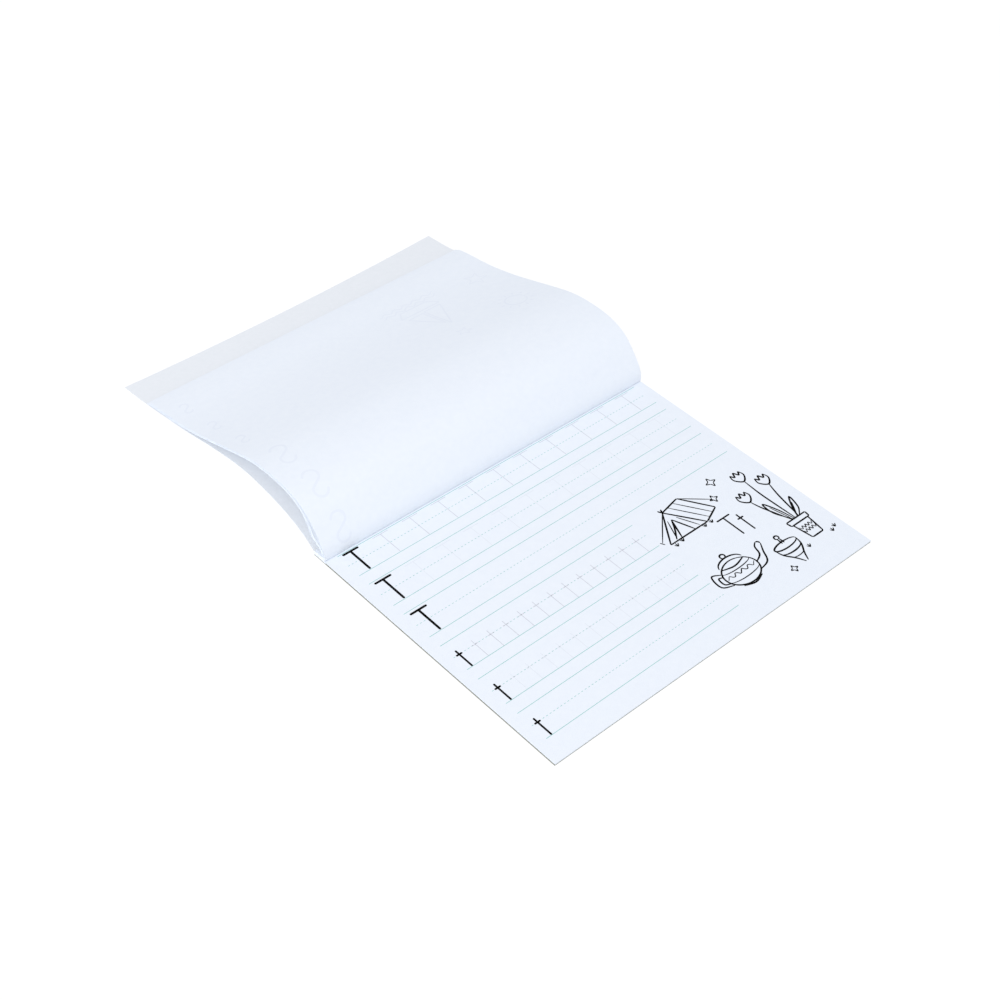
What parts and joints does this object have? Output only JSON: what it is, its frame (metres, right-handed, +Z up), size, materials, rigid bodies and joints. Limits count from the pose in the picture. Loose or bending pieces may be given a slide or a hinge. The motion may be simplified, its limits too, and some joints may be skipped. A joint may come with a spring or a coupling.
{
  "type": "tracing pad",
  "caption": "Top-bound paper tracing pad lying open, with a card cover and its first leaves turned over the glued head and the last leaves flat on a stiff back board.",
  "frame": {"origin": "centre of the back board's underside", "axes": "+X across the page from left to right, +Y from the reader towards the glued head, +Z up"},
  "size_m": [0.2794, 0.4278, 0.038],
  "materials": {
    "leaf_paper": "matte",
    "leaf_ends": "matte",
    "cover_card": "matte",
    "chipboard": "matte",
    "padding_compound": "satin"
  },
  "bodies": {
    "pad": {"backing_board": "chipboard", "bound_leaf_ends": "leaf_ends", "spine_glue": "padding_compound"},
    "cover": {"front_cover": "cover_card"},
    "leaf_01": {"leaf_01": "leaf_paper"},
    "leaf_02": {"leaf_02": "leaf_paper"},
    "leaf_03": {"leaf_03": "leaf_paper"},
    "leaf_04": {"leaf_04": "leaf_paper"},
    "leaf_05": {"leaf_05": "leaf_paper"},
    "leaf_06": {"leaf_06": "leaf_paper"},
    "leaf_07": {"leaf_07": "leaf_paper"},
    "leaf_08": {"leaf_08": "leaf_paper"},
    "leaf_09": {"leaf_09": "leaf_paper"},
    "leaf_10": {"leaf_10": "leaf_paper"},
    "leaf_11": {"leaf_11": "leaf_paper"},
    "leaf_12": {"leaf_12": "leaf_paper"},
    "leaf_13": {"leaf_13": "leaf_paper"},
    "leaf_14": {"leaf_14": "leaf_paper"},
    "leaf_15": {"leaf_15": "leaf_paper"},
    "leaf_16": {"leaf_16": "leaf_paper"},
    "leaf_17": {"leaf_17": "leaf_paper"},
    "leaf_18": {"leaf_18": "leaf_paper"},
    "leaf_19": {"leaf_19": "leaf_paper"},
    "leaf_20": {"leaf_20": "leaf_paper"},
    "leaf_21": {"leaf_21": "leaf_paper"},
    "leaf_22": {"leaf_22": "leaf_paper"},
    "leaf_23": {"leaf_23": "leaf_paper"},
    "leaf_24": {"leaf_24": "leaf_paper"},
    "leaf_25": {"leaf_25": "leaf_paper"},
    "leaf_26": {"leaf_26": "leaf_paper"}
  },
  "joints": [
    {"name": "cover_crease", "type": "hinge", "parent": "pad", "child": "cover", "pos_m": [0, 0.10867, 0.00336], "axis": [1, 0, 0], "range_deg": [-120, 0]},
    {"name": "leaf_18_fold", "type": "hinge", "parent": "pad", "child": "leaf_18", "pos_m": [0, 0.09735, 0.00434], "axis": [1, 0, 0], "range_deg": [0, 45]},
    {"name": "leaf_17_fold", "type": "hinge", "parent": "pad", "child": "leaf_17", "pos_m": [0, 0.09735, 0.00434], "axis": [1, 0, 0], "range_deg": [0, 45]},
    {"name": "leaf_16_fold", "type": "hinge", "parent": "pad", "child": "leaf_16", "pos_m": [0, 0.09735, 0.00434], "axis": [1, 0, 0], "range_deg": [0, 45]},
    {"name": "leaf_15_fold", "type": "hinge", "parent": "pad", "child": "leaf_15", "pos_m": [0, 0.09735, 0.00434], "axis": [1, 0, 0], "range_deg": [0, 45]},
    {"name": "leaf_14_fold", "type": "hinge", "parent": "pad", "child": "leaf_14", "pos_m": [0, 0.09735, 0.00434], "axis": [1, 0, 0], "range_deg": [0, 45]},
    {"name": "leaf_13_fold", "type": "hinge", "parent": "pad", "child": "leaf_13", "pos_m": [0, 0.09735, 0.00434], "axis": [1, 0, 0], "range_deg": [0, 45]},
    {"name": "leaf_12_fold", "type": "hinge", "parent": "pad", "child": "leaf_12", "pos_m": [0, 0.09735, 0.00434], "axis": [1, 0, 0], "range_deg": [0, 45]},
    {"name": "leaf_11_fold", "type": "hinge", "parent": "pad", "child": "leaf_11", "pos_m": [0, 0.09735, 0.00434], "axis": [1, 0, 0], "range_deg": [0, 45]},
    {"name": "leaf_10_fold", "type": "hinge", "parent": "pad", "child": "leaf_10", "pos_m": [0, 0.09735, 0.00434], "axis": [1, 0, 0], "range_deg": [0, 45]},
    {"name": "leaf_09_fold", "type": "hinge", "parent": "pad", "child": "leaf_09", "pos_m": [0, 0.09735, 0.00434], "axis": [1, 0, 0], "range_deg": [0, 45]},
    {"name": "leaf_08_fold", "type": "hinge", "parent": "pad", "child": "leaf_08", "pos_m": [0, 0.09735, 0.00434], "axis": [1, 0, 0], "range_deg": [0, 45]},
    {"name": "leaf_07_fold", "type": "hinge", "parent": "pad", "child": "leaf_07", "pos_m": [0, 0.09735, 0.00434], "axis": [1, 0, 0], "range_deg": [0, 45]},
    {"name": "leaf_06_fold", "type": "hinge", "parent": "pad", "child": "leaf_06", "pos_m": [0, 0.09735, 0.00434], "axis": [1, 0, 0], "range_deg": [0, 45]},
    {"name": "leaf_05_fold", "type": "hinge", "parent": "pad", "child": "leaf_05", "pos_m": [0, 0.09735, 0.00434], "axis": [1, 0, 0], "range_deg": [0, 45]},
    {"name": "leaf_04_fold", "type": "hinge", "parent": "pad", "child": "leaf_04", "pos_m": [0, 0.09735, 0.00434], "axis": [1, 0, 0], "range_deg": [0, 45]},
    {"name": "leaf_03_fold", "type": "hinge", "parent": "pad", "child": "leaf_03", "pos_m": [0, 0.09735, 0.00434], "axis": [1, 0, 0], "range_deg": [0, 45]},
    {"name": "leaf_02_fold", "type": "hinge", "parent": "pad", "child": "leaf_02", "pos_m": [0, 0.09735, 0.00434], "axis": [1, 0, 0], "range_deg": [0, 45]},
    {"name": "leaf_01_fold", "type": "hinge", "parent": "pad", "child": "leaf_01", "pos_m": [0, 0.09735, 0.00434], "axis": [1, 0, 0], "range_deg": [0, 45]},
    {"name": "leaf_19_fold", "type": "hinge", "parent": "leaf_18", "child": "leaf_19", "pos_m": [0, 0.09735, 0.00434], "axis": [1, 0, 0], "range_deg": [0, 55]},
    {"name": "leaf_21_fold", "type": "hinge", "parent": "pad", "child": "leaf_21", "pos_m": [0, 0.09675, 0.00156], "axis": [1, 0, 0], "range_deg": [-35, 0]},
    {"name": "leaf_22_fold", "type": "hinge", "parent": "pad", "child": "leaf_22", "pos_m": [0, 0.09675, 0.00156], "axis": [1, 0, 0], "range_deg": [-35, 0]},
    {"name": "leaf_23_fold", "type": "hinge", "parent": "pad", "child": "leaf_23", "pos_m": [0, 0.09675, 0.00156], "axis": [1, 0, 0], "range_deg": [-35, 0]},
    {"name": "leaf_24_fold", "type": "hinge", "parent": "pad", "child": "leaf_24", "pos_m": [0, 0.09675, 0.00156], "axis": [1, 0, 0], "range_deg": [-35, 0]},
    {"name": "leaf_25_fold", "type": "hinge", "parent": "pad", "child": "leaf_25", "pos_m": [0, 0.09675, 0.00156], "axis": [1, 0, 0], "range_deg": [-35, 0]},
    {"name": "leaf_26_fold", "type": "hinge", "parent": "pad", "child": "leaf_26", "pos_m": [0, 0.09675, 0.00156], "axis": [1, 0, 0], "range_deg": [-35, 0]},
    {"name": "leaf_20_fold", "type": "hinge", "parent": "leaf_21", "child": "leaf_20", "pos_m": [0, 0.09675, 0.00156], "axis": [1, 0, 0], "range_deg": [-60, 0]}
  ],
  "couplings": [
    {"joint": "leaf_17_fold", "follows": "leaf_18_fold", "ratio": 0.94444},
    {"joint": "leaf_16_fold", "follows": "leaf_18_fold", "ratio": 0.88889},
    {"joint": "leaf_15_fold", "follows": "leaf_18_fold", "ratio": 0.83333},
    {"joint": "leaf_14_fold", "follows": "leaf_18_fold", "ratio": 0.77778},
    {"joint": "leaf_13_fold", "follows": "leaf_18_fold", "ratio": 0.72222},
    {"joint": "leaf_12_fold", "follows": "leaf_18_fold", "ratio": 0.66667},
    {"joint": "leaf_11_fold", "follows": "leaf_18_fold", "ratio": 0.61111},
    {"joint": "leaf_10_fold", "follows": "leaf_18_fold", "ratio": 0.55556},
    {"joint": "leaf_09_fold", "follows": "leaf_18_fold", "ratio": 0.5},
    {"joint": "leaf_08_fold", "follows": "leaf_18_fold", "ratio": 0.44444},
    {"joint": "leaf_07_fold", "follows": "leaf_18_fold", "ratio": 0.38889},
    {"joint": "leaf_06_fold", "follows": "leaf_18_fold", "ratio": 0.33333},
    {"joint": "leaf_05_fold", "follows": "leaf_18_fold", "ratio": 0.27778},
    {"joint": "leaf_04_fold", "follows": "leaf_18_fold", "ratio": 0.22222},
    {"joint": "leaf_03_fold", "follows": "leaf_18_fold", "ratio": 0.16667},
    {"joint": "leaf_02_fold", "follows": "leaf_18_fold", "ratio": 0.11111},
    {"joint": "leaf_01_fold", "follows": "leaf_18_fold", "ratio": 0.055556},
    {"joint": "leaf_22_fold", "follows": "leaf_21_fold", "ratio": 0.83333},
    {"joint": "leaf_23_fold", "follows": "leaf_21_fold", "ratio": 0.66667},
    {"joint": "leaf_24_fold", "follows": "leaf_21_fold", "ratio": 0.5},
    {"joint": "leaf_25_fold", "follows": "leaf_21_fold", "ratio": 0.33333},
    {"joint": "leaf_26_fold", "follows": "leaf_21_fold", "ratio": 0.16667}
  ]
}
